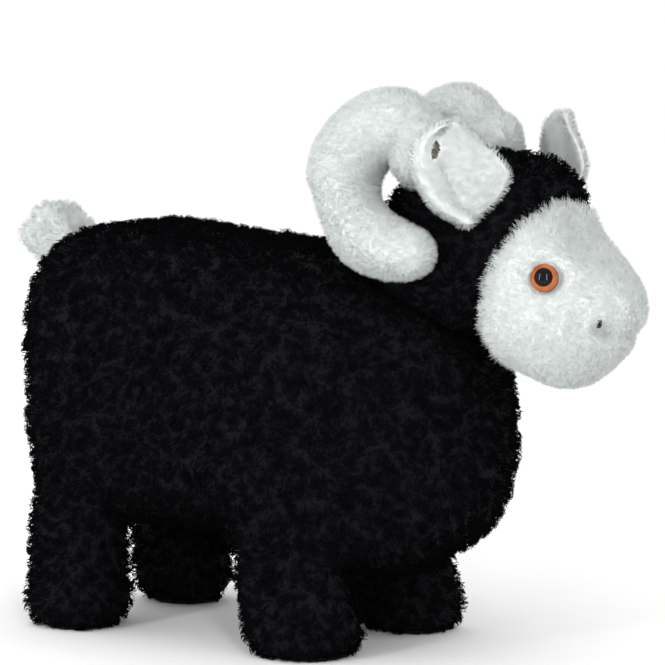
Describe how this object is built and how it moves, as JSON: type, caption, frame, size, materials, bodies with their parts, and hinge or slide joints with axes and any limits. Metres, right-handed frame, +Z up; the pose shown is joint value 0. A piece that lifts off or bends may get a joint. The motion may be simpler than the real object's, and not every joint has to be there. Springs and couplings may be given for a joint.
{
  "type": "standing ram soft toy",
  "caption": "Standing stuffed ram with black curly fur, white plush face, curled horns, ears and tail, and amber safety eyes.",
  "frame": {"origin": "on the floor, under the middle of the bounding box", "axes": "+X to the nose, +Y to the ram's left, +Z up"},
  "size_m": [0.412, 0.1702, 0.3117],
  "materials": {
    "black_boucle": "curly black boucle fur, matte",
    "white_plush": "short dense plush, off-white",
    "stuffing": "loose polyester fibre",
    "black_thread": "thick embroidery thread",
    "amber_lens": "clear amber, glossy dome",
    "black_pupil": "glossy black",
    "eye_shank": "moulded ribbed stem",
    "eye_washer": "moulded lock washer"
  },
  "bodies": {
    "ram": {"side_panel_left": "black_boucle", "side_panel_right": "black_boucle", "back_panel": "black_boucle", "belly_panel_left": "black_boucle", "belly_panel_right": "black_boucle", "chest_panel": "black_boucle", "rump_panel": "black_boucle", "closing_stitches": "black_thread", "body_stuffing": "stuffing", "leg_cover_front_left": "black_boucle", "leg_cover_front_right": "black_boucle", "leg_cover_hind_left": "black_boucle", "leg_cover_hind_right": "black_boucle", "sole_front_left": "black_boucle", "sole_front_right": "black_boucle", "sole_hind_left": "black_boucle", "sole_hind_right": "black_boucle", "leg_stuffing_front_left": "stuffing", "leg_stuffing_front_right": "stuffing", "leg_stuffing_hind_left": "stuffing", "leg_stuffing_hind_right": "stuffing", "hood_left": "black_boucle", "hood_right": "black_boucle", "head_stuffing": "stuffing", "face_panel_left": "white_plush", "face_panel_right": "white_plush", "chin_panel": "white_plush", "muzzle_stuffing": "stuffing", "eye_lens_left": "amber_lens", "eye_lens_right": "amber_lens", "eye_pupil_left": "black_pupil", "eye_pupil_right": "black_pupil", "eye_shank_left": "eye_shank", "eye_shank_right": "eye_shank", "eye_washer_left": "eye_washer", "eye_washer_right": "eye_washer", "nostril_stitch_left": "black_thread", "nostril_stitch_right": "black_thread"},
    "horn_left": {"horn_outer_left": "white_plush", "horn_inner_left": "white_plush", "horn_stuffing_left": "stuffing"},
    "horn_right": {"horn_outer_right": "white_plush", "horn_inner_right": "white_plush", "horn_stuffing_right": "stuffing"},
    "ear_left": {"ear_shell_left": "white_plush", "ear_lining_left": "white_plush"},
    "ear_right": {"ear_shell_right": "white_plush", "ear_lining_right": "white_plush"},
    "tail": {"tail_upper": "white_plush", "tail_lower": "white_plush", "tail_stuffing": "stuffing"}
  },
  "joints": [
    {"name": "horn_spread_left", "type": "hinge", "parent": "ram", "child": "horn_left", "pos_m": [0.09481, 0.027, 0.284], "axis": [1, 0, 0], "range_deg": [0, 10], "stiffness_Nm_per_rad": 0.3},
    {"name": "horn_spread_right", "type": "hinge", "parent": "ram", "child": "horn_right", "pos_m": [0.09481, -0.027, 0.284], "axis": [-1, 0, 0], "range_deg": [0, 10], "stiffness_Nm_per_rad": 0.3},
    {"name": "ear_flop_left", "type": "hinge", "parent": "ram", "child": "ear_left", "pos_m": [0.12481, 0.0515, 0.246], "axis": [-0.8488, 0.51, -0.1392], "range_deg": [-15, 20], "stiffness_Nm_per_rad": 0.05},
    {"name": "ear_flop_right", "type": "hinge", "parent": "ram", "child": "ear_right", "pos_m": [0.12481, -0.0515, 0.246], "axis": [0.8488, 0.51, 0.1392], "range_deg": [-15, 20], "stiffness_Nm_per_rad": 0.05},
    {"name": "tail_wag", "type": "hinge", "parent": "ram", "child": "tail", "pos_m": [-0.16819, 0, 0.211], "axis": [0, 0, 1], "range_deg": [-20, 20], "stiffness_Nm_per_rad": 0.05}
  ]
}
